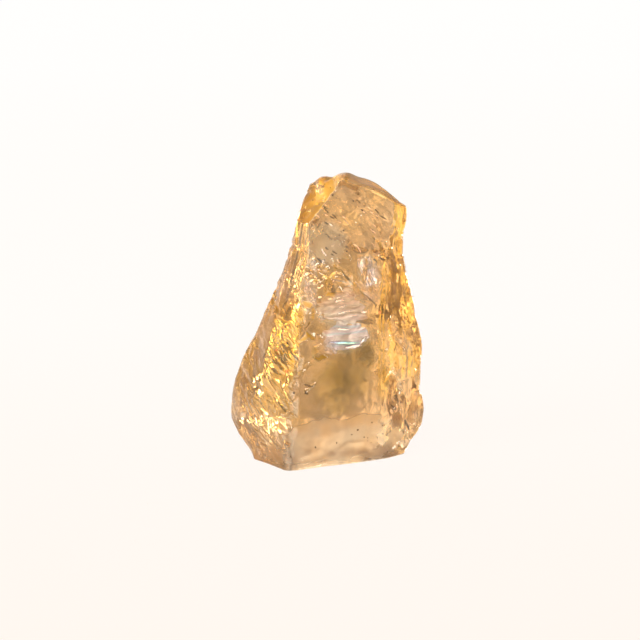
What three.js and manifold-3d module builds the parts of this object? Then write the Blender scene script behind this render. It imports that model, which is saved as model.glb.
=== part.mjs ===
// Morganite specimen: one rough peach beryl crystal, standing on its flat broken base.
// It is a tapered six-sided prism with etched faces, two of them split by a low extra edge,
// a slanting termination of five facets and a few shell-like chips along its edges.
// Millimetres. Origin on the base, under the middle of the crystal; +Z up, -Y the front.
import * as THREE from "three";
import { mergeVertices } from "three/addons/utils/BufferGeometryUtils.js";
import Module from "manifold-3d";

const wasm = await Module();
wasm.setup();

// The eight long edges of the tapered prism, counter-clockwise from the front one.
// Each is a list of stations: height, x, y.
const FRONT_EDGE = [
  [0, -4.7, -7.9],
  [4.5, -4.4, -8.8],
  [9.2, -4.3, -8.5],
  [16.8, -3.1, -7.8],
  [24.8, -2.1, -6.7],
  [29.7, -2.3, -5.8],
  [37, -1.6, -4.8],
];
const RIGHT_FRONT_EDGE = [
  [0, 7.6, -3.0],
  [2.1, 7.6, -3.1],
  [8.1, 6.1, -3.8],
  [12.6, 5.7, -3.9],
  [16.9, 5.8, -3.7],
  [21.6, 6.3, -3.4],
  [26.8, 7.6, -2.5],
  [31.6, 8.1, -1.9],
  [37, 7.0, -1.5],
];
const RIGHT_EDGE = [
  [0, 9.8, -1.2],
  [1.7, 10.9, -0.5],
  [3.3, 12.0, 0.0],
  [5.2, 12.2, 0.3],
  [8, 11.7, 0.4],
  [10, 11.8, 0.7],
  [12.6, 12.0, 0.8],
  [14.9, 11.8, 0.8],
  [17.9, 10.9, 0.7],
  [21.9, 10.1, 0.6],
  [24.5, 9.6, 0.2],
  [25.7, 9.3, 0.1],
  [27.5, 9.6, 0.0],
  [30, 9.8, -0.2],
  [31.6, 9.5, -0.3],
  [37, 8.6, -0.6],
];
const BACK_RIGHT_EDGE = [
  [0, 9.2, 3.6],
  [3.1, 10.6, 4.4],
  [7.6, 10.8, 4.5],
  [12.6, 10.4, 4.4],
  [17.9, 9.4, 4.0],
  [25.6, 8.2, 3.4],
  [30.6, 8.2, 3.0],
  [37, 7.1, 2.2],
];
const BACK_EDGE = [
  [0, 2.6, 6.7],
  [2.6, 3.2, 7.8],
  [7.6, 3.4, 7.9],
  [13.6, 3.2, 7.3],
  [21.6, 2.9, 6.2],
  [29.6, 2.6, 5.0],
  [37, 2.0, 4.2],
];
const BACK_LEFT_EDGE = [
  [0, -6.0, 4.6],
  [2.6, -7.2, 5.2],
  [6.6, -7.5, 5.2],
  [12.6, -6.8, 4.7],
  [19.6, -5.0, 3.9],
  [27.6, -3.1, 2.9],
  [37, -1.6, 2.1],
];
const LEFT_EDGE = [
  [0, -9.0, -1.9],
  [1.2, -10.0, -1.1],
  [3, -11.6, -0.7],
  [4.5, -12.3, -0.4],
  [7.4, -12.0, -0.3],
  [10, -11.4, -0.2],
  [13.1, -10.2, -0.3],
  [15, -9.1, -0.4],
  [18.1, -7.7, -0.5],
  [20.2, -6.7, -0.6],
  [23.1, -5.5, -0.7],
  [26.2, -4.5, -0.8],
  [29.6, -3.5, -0.8],
  [32.4, -2.6, -0.8],
  [34.2, -1.4, -0.8],
  [37, 0.6, -0.8],
];
const LEFT_FRONT_EDGE = [
  [0, -9.0, -3.2],
  [5.1, -9.5, -4.7],
  [10.7, -8.1, -4.7],
  [16, -6.6, -4.5],
  [21.3, -5.2, -4.1],
  [26.6, -4.0, -3.7],
  [31.6, -3.1, -3.2],
  [37, -2.2, -2.9],
];
const EDGES = [
  FRONT_EDGE,
  RIGHT_FRONT_EDGE,
  RIGHT_EDGE,
  BACK_RIGHT_EDGE,
  BACK_EDGE,
  BACK_LEFT_EDGE,
  LEFT_EDGE,
  LEFT_FRONT_EDGE,
];
const PRISM_HEIGHT = 37;
const ROWS = 42;
// Where the lines on a face stand, as shares of its width; the outer strips are the worn edges.
const FACE_SHARES = [0, 0.09, 0.36, 0.64, 0.91];

// Etched faces roll gently: the depth of the swells in mm, and the slow waves that make
// them, each with its radians per mm along x, y and z and the angle it starts at.
const SWELL = 0.16;
const SWELL_WAVES = [
  { x: 0.35, y: -0.2, z: 0.55, start: 0 },
  { x: 0.9, y: -0.7, z: 0.25, start: 1.3 },
  { x: 0.5, y: 0.6, z: -0.95, start: 2.1 },
];
// Share of the way a long edge is worn back towards the lines beside it.
const EDGE_WEAR = 0.6;

// Termination facets: compass bearing and upward tilt of each in degrees, and a point on it.
const GOLDEN_FACET = { bearing: -152, tilt: 41, point: [-2.4, -5.8, 29.7] };
const CREST = { bearing: 150, tilt: 72, point: [0.4, 2, 34.2] };
const RIGHT_SLOPE = { bearing: 2, tilt: 61, point: [9.4, 0, 31.2] };
const FRONT_BEVEL = { bearing: -52, tilt: 52, point: [4.6, -3.4, 33.6] };
const BACK_SLOPE = { bearing: 104, tilt: 47, point: [2, 2.6, 34.2] };
const TERMINATION = [GOLDEN_FACET, CREST, RIGHT_SLOPE, FRONT_BEVEL, BACK_SLOPE];

// Shell-like chips broken out of the long edges and the crest: centre and half-sizes of the
// rounded body each one follows, and its turn in degrees about Z.
const CHIPS = [
  { at: [-3.3, -15.0, 24.4], size: [8.0, 9.0, 10.0], turn: -8 },
  { at: [-12.0, -6.3, 1.6], size: [5.0, 4.0, 3.4], turn: -49 },
  { at: [-0.2, -1.4, 35.0], size: [0.8, 2.4, 0.9], turn: -30 },
  { at: [16.0, 8.4, 19.0], size: [9.0, 9.0, 11.0], turn: -56 },
  { at: [-12.5, 11.3, 10.4], size: [9.0, 9.0, 8.0], turn: 40 },
  { at: [2.8, 12.0, 28.0], size: [8.0, 7.8, 7.0], turn: 0 },
];
const CHIP_DETAIL = 12;

// Larger than the crystal in every direction.
const SLAB = 80;
// Points nearer than this in mm are one corner of a solid.
const SAME_POINT = 1e-4;

const radians = THREE.MathUtils.degToRad;

// A point on an edge at a height, straight between its stations.
function onEdge(edge, height) {
  const last = edge.length - 1;
  let i = 0;
  while (i < last - 1 && edge[i + 1][0] < height) i += 1;
  const [h0, x0, y0] = edge[i];
  const [h1, x1, y1] = edge[i + 1];
  const t = THREE.MathUtils.clamp((height - h0) / (h1 - h0), 0, 1);
  return new THREE.Vector2(x0 + (x1 - x0) * t, y0 + (y1 - y0) * t);
}

// How far the roll of the etched faces lifts the skin at a point.
function swell(x, y, z) {
  const waves = SWELL_WAVES.map((w) => Math.sin(w.x * x + w.y * y + w.z * z + w.start));
  return (SWELL * waves.reduce((sum, wave) => sum + wave, 0)) / waves.length;
}

// The prism between its eight edges, closed by flat ends.
function prism() {
  const strips = FACE_SHARES.length;
  const around = EDGES.length * strips;
  const positions = [];
  for (let row = 0; row <= ROWS; row += 1) {
    const z = (PRISM_HEIGHT * row) / ROWS;
    const corners = EDGES.map((edge) => onEdge(edge, z));
    const ring = [];
    corners.forEach((from, i) => {
      const to = corners[(i + 1) % corners.length];
      for (const share of FACE_SHARES) ring.push(from.clone().lerp(to, share));
    });
    for (let i = 0; i < around; i += 1) {
      const p = ring[i].clone();
      if (i % strips === 0) {
        const beside = ring[i + 1].clone().lerp(ring[(i + around - 1) % around], 0.5);
        p.lerp(beside, EDGE_WEAR);
      }
      const out = p.clone().normalize().multiplyScalar(swell(p.x, p.y, z));
      p.add(out);
      positions.push(p.x, p.y, z);
    }
  }
  const bottom = positions.length / 3;
  positions.push(0, 0, 0);
  positions.push(0, 0, PRISM_HEIGHT);
  const faces = [];
  for (let i = 0; i < around; i += 1) {
    const j = (i + 1) % around;
    for (let row = 0; row < ROWS; row += 1) {
      const a = row * around;
      const b = a + around;
      faces.push(a + i, a + j, b + j, a + i, b + j, b + i);
    }
    faces.push(bottom, j, i);
    faces.push(bottom + 1, ROWS * around + i, ROWS * around + j);
  }
  const geometry = new THREE.BufferGeometry();
  geometry.setAttribute("position", new THREE.Float32BufferAttribute(positions, 3));
  geometry.setIndex(faces);
  return geometry;
}

// A three.js geometry as a solid that can be cut.
function solid(geometry) {
  const bare = geometry.clone();
  bare.deleteAttribute("normal");
  bare.deleteAttribute("uv");
  const merged = mergeVertices(bare, SAME_POINT);
  return new wasm.Manifold(
    new wasm.Mesh({
      numProp: 3,
      vertProperties: new Float32Array(merged.attributes.position.array),
      triVerts: new Uint32Array(merged.index.array),
    }),
  );
}

// A thick slab lying outside a plane face, to be cut away.
function outside({ bearing, tilt, point }) {
  const slab = new THREE.BoxGeometry(SLAB, SLAB, SLAB).translate(0, 0, SLAB / 2);
  const out = new THREE.Vector3(
    Math.cos(radians(bearing)) * Math.cos(radians(tilt)),
    Math.sin(radians(bearing)) * Math.cos(radians(tilt)),
    Math.sin(radians(tilt)),
  );
  slab.applyQuaternion(
    new THREE.Quaternion().setFromUnitVectors(new THREE.Vector3(0, 0, 1), out),
  );
  slab.translate(...point);
  return solid(slab);
}

// The rounded body that a chip takes away.
function shell({ at, size, turn }) {
  const ball = new THREE.IcosahedronGeometry(1, CHIP_DETAIL);
  ball.scale(...size);
  ball.rotateZ(radians(turn));
  ball.translate(...at);
  return solid(ball);
}

// The crystal: the prism, cut to its termination and chipped.
let body = solid(prism());
for (const facet of TERMINATION) {
  body = body.subtract(outside(facet));
}
for (const chip of CHIPS) {
  body = body.subtract(shell(chip));
}

const cut = body.getMesh();
const skin = new THREE.BufferGeometry();
skin.setAttribute("position", new THREE.Float32BufferAttribute(cut.vertProperties, 3));
skin.setIndex(new THREE.Uint32BufferAttribute(cut.triVerts, 1));
const shape = skin.toNonIndexed();
shape.computeVertexNormals();
shape.computeBoundingBox();
const middle = shape.boundingBox.getCenter(new THREE.Vector3());
shape.translate(-middle.x, -middle.y, 0);

const crystal = new THREE.Mesh(
  shape,
  new THREE.MeshStandardMaterial({ color: 0xe8b988, roughness: 0.15, metalness: 0 }),
);
crystal.name = "crystal";

const specimen = new THREE.Group();
specimen.name = "morganite_specimen";
specimen.add(crystal);

export default specimen;
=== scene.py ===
import math

import bmesh
import bpy
import numpy as np
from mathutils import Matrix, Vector, noise
from mathutils.bvhtree import BVHTree


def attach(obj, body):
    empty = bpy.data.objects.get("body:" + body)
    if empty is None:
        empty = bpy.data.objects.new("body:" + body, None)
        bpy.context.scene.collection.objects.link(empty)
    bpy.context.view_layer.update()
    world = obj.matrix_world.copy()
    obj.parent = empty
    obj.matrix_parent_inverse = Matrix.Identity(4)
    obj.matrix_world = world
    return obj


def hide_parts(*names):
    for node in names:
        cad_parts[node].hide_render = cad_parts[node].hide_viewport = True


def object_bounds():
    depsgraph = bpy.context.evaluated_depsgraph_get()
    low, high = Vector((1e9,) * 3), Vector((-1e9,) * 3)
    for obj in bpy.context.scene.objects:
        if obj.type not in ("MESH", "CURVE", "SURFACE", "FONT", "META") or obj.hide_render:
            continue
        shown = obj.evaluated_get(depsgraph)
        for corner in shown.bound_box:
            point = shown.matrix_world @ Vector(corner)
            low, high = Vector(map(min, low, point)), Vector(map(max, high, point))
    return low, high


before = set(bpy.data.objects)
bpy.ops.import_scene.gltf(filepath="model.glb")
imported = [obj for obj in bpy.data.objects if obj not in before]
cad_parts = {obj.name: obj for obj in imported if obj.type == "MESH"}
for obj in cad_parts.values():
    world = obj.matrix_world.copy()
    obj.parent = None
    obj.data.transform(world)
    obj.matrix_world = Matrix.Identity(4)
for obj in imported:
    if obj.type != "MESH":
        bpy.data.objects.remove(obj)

cad_low, cad_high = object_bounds()

# --- Crystal skin ------------------------------------------------------------------------
# One rough beryl crystal, clear peach-gold. It grew as a six-sided prism, was etched by
# the fluid that it grew in, and was broken across at its base, on which it stands.
MM = 0.001
GRAIN = 0.13            # mm between the points of the skin before it is thinned
SKIN_TRIANGLES = 190000
EDGE_WEAR = 8           # rounds of smoothing on the sharp edges of the plain solid
SWELL_ROUNDS = 70       # rounds of smoothing on the faces between the foot and the belly
SWELL_PULL = 0.6        # how far such a round pulls a point towards its neighbours
LEVEL_FOOT = 0.3        # mm above the base up to which the worn edges keep their height
BASE_BAND = 0.9         # mm over which the etching fades out above the flat base


def step(low, high, value):
    """0 below low, 1 above high and a smooth rise between them."""
    t = np.clip((value - low) / (high - low), 0.0, 1.0)
    return t * t * (3.0 - 2.0 * t)


def waves(points, *scale, start=0.0):
    """Smooth noise from -1 to 1 at points, with this many swells per mm along each axis."""
    return np.array([noise.noise(p) for p in (points * scale + start).tolist()])


def mesh_points(mesh):
    """The corners of a mesh, one row each."""
    flat = np.empty(len(mesh.vertices) * 3)
    mesh.vertices.foreach_get("co", flat)
    return flat.reshape(-1, 3)


def mesh_normals(mesh):
    """The outward directions at the corners of a mesh, one row each."""
    flat = np.empty(len(mesh.vertices) * 3)
    mesh.vertices.foreach_get("normal", flat)
    return flat.reshape(-1, 3)


def bake_modifier(piece):
    """Puts what a piece's modifiers make in its own mesh."""
    graph = bpy.context.evaluated_depsgraph_get()
    mesh = bpy.data.meshes.new_from_object(piece.evaluated_get(graph))
    piece.modifiers.clear()
    piece.data = mesh
    return mesh


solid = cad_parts["crystal"].data.copy()
solid.vertices.foreach_set("co", (mesh_points(solid) / MM).ravel())
crystal = bpy.data.objects.new("beryl_crystal", solid)
bpy.context.scene.collection.objects.link(crystal)
net = crystal.modifiers.new("net", "REMESH")
net.mode = "VOXEL"
net.voxel_size = GRAIN
bpy.context.view_layer.update()
skin = bake_modifier(crystal)

at = mesh_points(skin)
pairs = np.empty(len(skin.edges) * 2, dtype=np.int64)
skin.edges.foreach_get("vertices", pairs)
pairs = pairs.reshape(-1, 2)
beside = np.bincount(pairs.ravel(), minlength=len(at))[:, None]
top = at[:, 2].max()


def neighbours(points):
    """The middle of the points that each point of the skin is joined to."""
    total = np.stack(
        [
            np.bincount(pairs[:, 0], points[pairs[:, 1], k], len(points))
            + np.bincount(pairs[:, 1], points[pairs[:, 0], k], len(points))
            for k in range(3)
        ],
        axis=1,
    )
    return total / beside


for _ in range(EDGE_WEAR):
    foot = at[:, 2] < LEVEL_FOOT
    level = at[foot, 2].copy()
    at = 0.5 * at + 0.5 * neighbours(at)
    at[foot, 2] = level
skin.vertices.foreach_set("co", at.ravel())
skin.update()
out = mesh_normals(skin)

# The faces swell smoothly from the foot to the belly, with no ring where their slope changes.
FRONT_WAY = (0.42, -0.91, 0.03)
LEFT_FRONT_WAY = (-0.75, -0.60, 0.10)
swelling = step(0.0, 0.2, out[:, 1])
for way in (FRONT_WAY, LEFT_FRONT_WAY):
    swelling = np.maximum(swelling, step(0.93, 0.98, out @ np.array(way)))
swelling *= step(0.4, 1.2, at[:, 2]) * step(9.0, 7.0, at[:, 2])
for _ in range(SWELL_ROUNDS):
    at += (SWELL_PULL * swelling)[:, None] * (neighbours(at) - at)
x, y, z = at.T

# The prism is cut in slabs by height, so that the growth lines lean with its taper.
SLABS = 49
levels = np.linspace(0, top, SLABS + 1)
slab = np.clip(np.digitize(z, levels) - 1, 0, SLABS - 1)
mid_z = (levels[1:] + levels[:-1]) / 2


def between_sides(side):
    """Where each point lies between the two sides of the prism at its height, from -1 to 1."""
    low = np.array([side[slab == k].min() for k in range(SLABS)])
    high = np.array([side[slab == k].max() for k in range(SLABS)])
    centre = np.interp(z, mid_z, (low + high) / 2)
    return (side - centre) / np.interp(z, mid_z, (high - low) / 2)


across_x = between_sides(x)
across_y = between_sides(y)
ring = np.hypot(across_x, across_y)
around = np.stack([across_x / ring, across_y / ring, z], axis=1)

# Where each kind of etching lies. The front edge is given by its heights and its places.
FRONT_EDGE_Z = (0, 9.2, 16.8, 24.8, 29.7)
FRONT_EDGE_X = (-4.8, -4.4, -3.2, -2.2, -2.4)
edge_x = np.interp(z, FRONT_EDGE_Z, FRONT_EDGE_X)
front = step(0.1, 0.4, -out[:, 1])
left_front = front * step(0.6, -0.4, x - edge_x) * (1 - step(17.5, 22, z))
left_front *= 1 - 0.8 * step(0.70, 0.82, -out[:, 0])
flank = step(0.5, 0.8, np.abs(out[:, 0]))
flank = np.maximum(flank, step(0.48, 0.65, out[:, 0]) * step(0.0, -0.2, out[:, 1]))
back = step(0.1, 0.4, out[:, 1])
tip = step(0.35, 0.6, out[:, 2])
upper_front = front * (1 - left_front) * step(21, 24, z)
middle = front * (1 - left_front) * step(11, 14, z) * (1 - step(24, 26, z))

# The whole skin rolls gently.
SWELL_HEIGHT = 0.09
SMALL_SWELL_HEIGHT = 0.03
lift = SWELL_HEIGHT * waves(at, 0.45, 0.45, 0.45)
lift += SMALL_SWELL_HEIGHT * waves(at, 1.3, 1.3, 1.3, start=5.0)

# Growth lines: fine grooves up the flanks and the back.
LINE_DEPTH = 0.13
FINE_LINE_DEPTH = 0.02
lines = waves(around, 11.0, 11.0, 0.08, start=2.0)
fine_lines = waves(around, 25.0, 25.0, 0.14, start=9.0)
smoother = 1 - 0.85 * step(22.0, 17.0, z) * step(0.0, -0.2, x)
smoother *= 1 - 0.55 * step(15.0, 18.0, z) * step(0.0, 0.2, x)
grooves = LINE_DEPTH * lines + FINE_LINE_DEPTH * fine_lines
lift += grooves * flank * (1 - 0.85 * left_front) * (1 - tip) * smoother

# Etched ridges on the left of the front, running down to the right, finer near the foot.
SLANT_X = 0.77
SLANT_Z = 0.64
RIDGE_HEIGHT = 0.55
SMALL_RIDGE_HEIGHT = 0.09
RIDGE_MEAN = 0.24       # taken off again, so that the face stays where it is
FOOT_RIDGE_HEIGHT = 0.07
slant_across = SLANT_X * x + SLANT_Z * z
slant_along = SLANT_Z * x - SLANT_X * z
slant = np.stack([slant_across, y, slant_along], axis=1)
bend = waves(at, 0.5, 0.5, 0.5, start=3.0)
bent = slant + bend[:, None] * (0.5, 0.0, 0.5)
crests = 0.5 - np.abs(waves(bent, 1.15, 0.5, 0.26, start=11.0))
small_crests = 0.5 - np.abs(waves(bent, 2.6, 0.9, 0.6, start=4.0))
lift += (RIDGE_HEIGHT * crests + SMALL_RIDGE_HEIGHT * small_crests - RIDGE_MEAN) * left_front
foot_crests = 0.5 - np.abs(waves(bent, 3.4, 1.0, 0.9, start=8.0))
lift += FOOT_RIDGE_HEIGHT * foot_crests * (left_front * step(9.0, 6.0, z) * step(0.4, 1.4, z))

# The front edge is chipped here and there.
CHIP_DEPTH = 0.34
chipped = step(-0.05, 0.3, waves(at, 0.7, 0.4, 0.55, start=91.0)) * step(19.0, 15.0, z)
lift -= CHIP_DEPTH * chipped * step(1.1, 0.1, np.abs(x - edge_x)) * front

# Small hillocks and pits on the upper front, drawn out down to the right.
HILLOCK_HEIGHT = 0.06
PIT_DEPTH = 0.07
hillocks = step(0.38, 0.60, waves(slant, 1.9, 1.2, 0.8, start=7.0))
pits = step(0.40, 0.60, -waves(slant, 1.9, 1.2, 0.8, start=17.0))
sparse = 1 - 0.3 * step(27.0, 29.0, z)
lift += (HILLOCK_HEIGHT * hillocks - PIT_DEPTH * pits) * np.maximum(upper_front * sparse, 0.3 * tip)

# Low humps along the top: place, reach and height.
HUMPS = ((-0.6, 34.1, 1.4, 0.42), (1.6, 34.9, 1.3, 0.22), (6.0, 33.2, 2.8, 0.33))
for x0, z0, reach, height in HUMPS:
    lift += height * step(1.0, 0.0, np.hypot(x - x0, z - z0) / reach) * step(0.2, 0.5, out[:, 2])

# Shell-like hollows where flakes broke off the front: place, half-width, half-height, lean
# in degrees and depth. Where two meet, the edge between them is sharp. Those in the middle of
# the front are cut deeper.
HOLLOW_DEPTH = 1.3
MIDDLE_HOLLOW_DEPTH = 0.5
FRONT_HOLLOWS = (
    (1.2, 22.4, 1.9, 1.7, 0, 0.42),
    (2.0, 19.5, 2.9, 1.5, 8, 0.28),
    (-2.5, 21.6, 1.2, 1.6, 20, 0.08),
    (3.9, 21.5, 1.5, 1.1, -40, 0.16),
    (5.3, 23.4, 1.3, 2.2, 15, 0.24),
    (-1.5, 25.2, 1.6, 2.2, 30, 0.16),
    (1.9, 15.8, 2.9, 1.6, -6, 0.30),
    (-0.8, 14.6, 1.1, 1.2, 30, 0.24),
    (-1.9, 17.8, 1.5, 1.7, -30, 0.26),
    (4.6, 17.2, 1.6, 1.4, -30, 0.08),
    (8.2, 9.2, 0.9, 2.1, 10, 0.30),
    (8.7, 6.6, 0.5, 0.7, 20, 0.16),
    (8.0, 6.0, 0.4, 0.5, -20, 0.12),
    (9.1, 5.5, 0.4, 0.4, 10, 0.12),
    (7.9, 16.9, 0.6, 1.5, 8, 0.18),
    (8.8, 14.4, 0.5, 1.4, 12, 0.20),
    (7.2, 26.2, 0.7, 1.3, 25, 0.14),
    (3.2, 31.3, 2.6, 1.8, -35, 0.12),
    (5.9, 28.9, 2.2, 1.7, -30, 0.12),
    (0.9, 28.8, 2.3, 1.9, -30, 0.12),
    (3.2, 26.6, 2.2, 1.3, -25, 0.13),
    (0.8, 3.3, 2.0, 1.6, 20, 0.10),
    (-2.3, 3.6, 1.8, 1.5, -25, 0.10),
    (4.2, 3.8, 2.1, 1.5, 10, 0.10),
    (3.0, 1.6, 2.4, 1.2, 0, 0.08),
    (6.6, 2.6, 1.5, 1.6, 30, 0.10),
    (10.4, 5.6, 1.1, 1.8, 20, 0.12),
    (10.8, 2.6, 1.0, 1.0, 50, 0.14),
    (-9.6, 3.6, 1.6, 1.2, -40, 0.16),
    (-6.6, 2.2, 1.9, 1.3, -30, 0.14),
)


def stray(places, start):
    """These places moved to and fro, because the outlines of breaks wander."""
    moved = places + 0.55 * waves(at, 0.55, 0.3, 0.55, start=start)
    return moved + 0.22 * waves(at, 1.5, 1.0, 1.5, start=start + 1.0)


stray_x = stray(x, 51.0)
stray_z = stray(z, 61.0)


def leaning(x0, z0, lean):
    """The points' places from (x0, z0), along and across a line that leans this many degrees."""
    turn = math.radians(lean)
    right = (stray_x - x0) * math.cos(turn) + (stray_z - z0) * math.sin(turn)
    rise = (stray_z - z0) * math.cos(turn) - (stray_x - x0) * math.sin(turn)
    return right, rise


hollow = np.zeros(len(at))
for x0, z0, half_width, half_height, lean, depth in FRONT_HOLLOWS:
    right, rise = leaning(x0, z0, lean)
    off = (right / half_width) ** 2 + (rise / half_height) ** 2
    hollow = np.maximum(hollow, depth * (1.0 - off))
lift -= (HOLLOW_DEPTH + MIDDLE_HOLLOW_DEPTH * middle) * hollow * front

# The broken side of the front below the largest hollow is ribbed, as a shell is.
RIB_HEIGHT = 0.035
RIB_SPACING = 0.46
right, rise = leaning(2.0, 19.5, 8)
ribbed = step(1.0, 0.75, (right / 2.9) ** 2 + (rise / 1.5) ** 2) * front
lift += RIB_HEIGHT * np.sin(2 * math.pi * rise / RIB_SPACING + 1.2 * waves(at, 0.8, 0.8, 0.8)) * ribbed

# Droplet-like etch hillocks left of that hollow, and rough ground below them.
DROPLET_HEIGHT = 0.13
LEDGE_HEIGHT = 0.22
droplets = step(0.30, 0.52, waves(at, 2.3, 2.3, 2.3, start=21.0))
right, rise = leaning(-1.2, 24.6, 30)
lift += DROPLET_HEIGHT * droplets * step(1.0, 0.5, (right / 2.3) ** 2 + (rise / 3.4) ** 2) * front
ledge = step(1.0, 0.4, np.hypot(x + 2.6, z - 19.7) / 2.2) * front
lift += LEDGE_HEIGHT * waves(slant, 1.5, 1.0, 0.7, start=27.0) * ledge

# Sharp creases on the front: from, to, and depth.
CREASE_WIDTH = 0.32
CREASES = (
    ((0.6, 25.3), (3.0, 22.7), 0.16),
    ((3.0, 22.7), (5.6, 19.9), 0.08),
    ((6.0, 25.6), (7.1, 26.0), 0.12),
    ((-6.9, 15.2), (-5.7, 13.4), 0.34),
    ((-6.2, 15.6), (-5.3, 14.2), 0.26),
    ((-7.3, 13.9), (-6.1, 12.2), 0.22),
    ((10.0, 4.3), (11.0, 3.0), 0.16),
    ((9.6, 3.0), (10.6, 1.6), 0.12),
    ((-4.2, 11.6), (-2.2, 13.6), 0.12),
    ((-2.9, 10.2), (-1.2, 10.9), 0.16),
    ((-6.9, 20.0), (-5.2, 17.2), 0.20),
)
for (x1, z1), (x2, z2), depth in CREASES:
    run = math.hypot(x2 - x1, z2 - z1)
    share = ((stray_x - x1) * (x2 - x1) + (stray_z - z1) * (z2 - z1)) / run ** 2
    share = np.clip(share, 0.0, 1.0)
    off = np.hypot(stray_x - x1 - share * (x2 - x1), stray_z - z1 - share * (z2 - z1))
    lift -= depth * step(CREASE_WIDTH, 0.0, off) * front * step(0.0, 0.12, share) * step(1.0, 0.85, share)

# Flakes broke off the back and the sides too.
FLAKES = 34
dice = np.random.default_rng(79)
broken = np.zeros(len(at))
aside = np.flatnonzero((out[:, 1] > 0.1) & (z > 1.5) & (z < top - 1.0))
for spot in dice.choice(aside, FLAKES):
    radius = dice.uniform(1.0, 3.2)
    depth = dice.uniform(0.04, 0.09) * radius
    off = np.linalg.norm((at - at[spot]) * (1.0, 1.0, 0.7), axis=1) / radius
    broken = np.maximum(broken, depth * (1.0 - off ** 2))
lift -= broken * step(-0.15, 0.25, out[:, 1])

# Nicks along the sides, large and small.
NICK_DEPTH = 0.16
SMALL_NICK_DEPTH = 0.05
nicks = NICK_DEPTH * step(0.12, 0.42, waves(at, 0.85, 0.6, 0.7, start=71.0))
nicks += SMALL_NICK_DEPTH * step(0.15, 0.45, waves(at, 1.9, 1.2, 1.6, start=75.0))
lift -= nicks * flank * (1 - 0.7 * left_front) * smoother

# The long edges at the back are chipped too. Each is given at the foot, belly and top.
BACK_EDGE_Z = (0, 7.0, 31.0)
BACK_EDGE_X = ((2.6, 3.4, 2.6), (9.4, 10.5, 8.0), (-6.3, -7.4, -2.8))
for foot_x, belly_x, top_x in BACK_EDGE_X:
    line_x = np.interp(z, BACK_EDGE_Z, (foot_x, belly_x, top_x))
    split_off = step(-0.05, 0.3, waves(at, 0.5, 0.5, 0.4, start=95.0 + foot_x))
    lift -= CHIP_DEPTH * split_off * step(1.3, 0.1, np.abs(x - line_x)) * back

# The skin is smoothest over the two largest cracks: place, half-width and half-height.
CALM_PLACES = ((2.2, 16.0, 3.2, 2.0), (2.2, 19.4, 3.2, 1.9))
for x0, z0, wide, tall in CALM_PLACES:
    calm = step(1.2, 0.6, np.hypot((x - x0) / wide, (z - z0) / tall)) * front
    lift *= 1 - 0.75 * calm

lift *= step(0.0, BASE_BAND, z)
at = at + out * lift[:, None]

# The break across the back runs in to the foot from a ragged line, not from a straight one.
BREAK_SLOPE = 0.42
BREAK_HEIGHT = 2.6
ragged = 3.8 + 1.3 * waves(at, 0.40, 0.0, 0.05, start=83.0) + 0.5 * waves(at, 1.1, 0.0, 0.1, start=84.0)
more = np.hypot(ragged - z, 0.5) + ragged - np.hypot(BREAK_HEIGHT - z, 1.5) - BREAK_HEIGHT
at[:, 1] -= BREAK_SLOPE / 2 * more * step(1.0, 5.5, y) * step(12.0, 7.0, z)
at[:, 2] = np.clip(at[:, 2], 0, top)
at = np.clip(at, np.array(cad_low) / MM, np.array(cad_high) / MM)
skin.vertices.foreach_set("co", (at * MM).ravel())
skin.update()
thin = crystal.modifiers.new("thin", "DECIMATE")
thin.ratio = min(1.0, SKIN_TRIANGLES / (2 * len(skin.polygons)))
bpy.context.view_layer.update()
skin = bake_modifier(crystal)
skin.polygons.foreach_set("use_smooth", [True] * len(skin.polygons))

# How dull the etching leaves each part of the skin, from 0, glassy, to 1, frosted.
at = mesh_points(skin) / MM
out = mesh_normals(skin)
x, y, z = at.T
front = step(0.1, 0.4, -out[:, 1])
edge_x = np.interp(z, FRONT_EDGE_Z, FRONT_EDGE_X)
left_front = front * step(0.6, -0.4, x - edge_x) * (1 - step(19, 23, z))
dull = 0.62 + 0.3 * waves(at, 0.5, 0.5, 0.5, start=31.0) + 0.15 * waves(at, 1.6, 1.6, 1.6, start=2.0)
dull *= (0.12 + 0.88 * step(0.75, 0.88, -out[:, 1])) * (1 - 0.9 * left_front)
dull *= 1 - 0.6 * step(12.5, 14.5, z) * step(28.5, 26.5, z)
dull = np.clip(dull, 0.0, 1.0)
dull = np.maximum(dull, 0.9 * front * step(25.0, 27.5, z))
foot = step(0.5, 0.9, -out[:, 2])
gold_facet = step(0.35, 0.5, out[:, 2]) * step(1.5, 0.5, x)
dull = np.maximum(dull, 3.0 * gold_facet)
ragged = z + 1.5 * waves(at, 0.40, 0.40, 0.40, start=82.0) + 0.7 * waves(at, 1.3, 1.3, 1.3, start=85.0)
low_band = step(7.4, 3.4, ragged) * front * step(-1.0, 0.2, x - edge_x)
dull = np.maximum(dull, 1.5 * low_band)
dull = np.maximum(dull, 1.2 * step(2.4, 0.9, z))
dull = np.maximum(dull, 1.4 * foot)
dull = np.maximum(dull, 3.0 * step(0.6, 0.8, out[:, 2]))
skin.attributes.new("dullness", "FLOAT", "POINT").data.foreach_set("value", dull)

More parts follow.
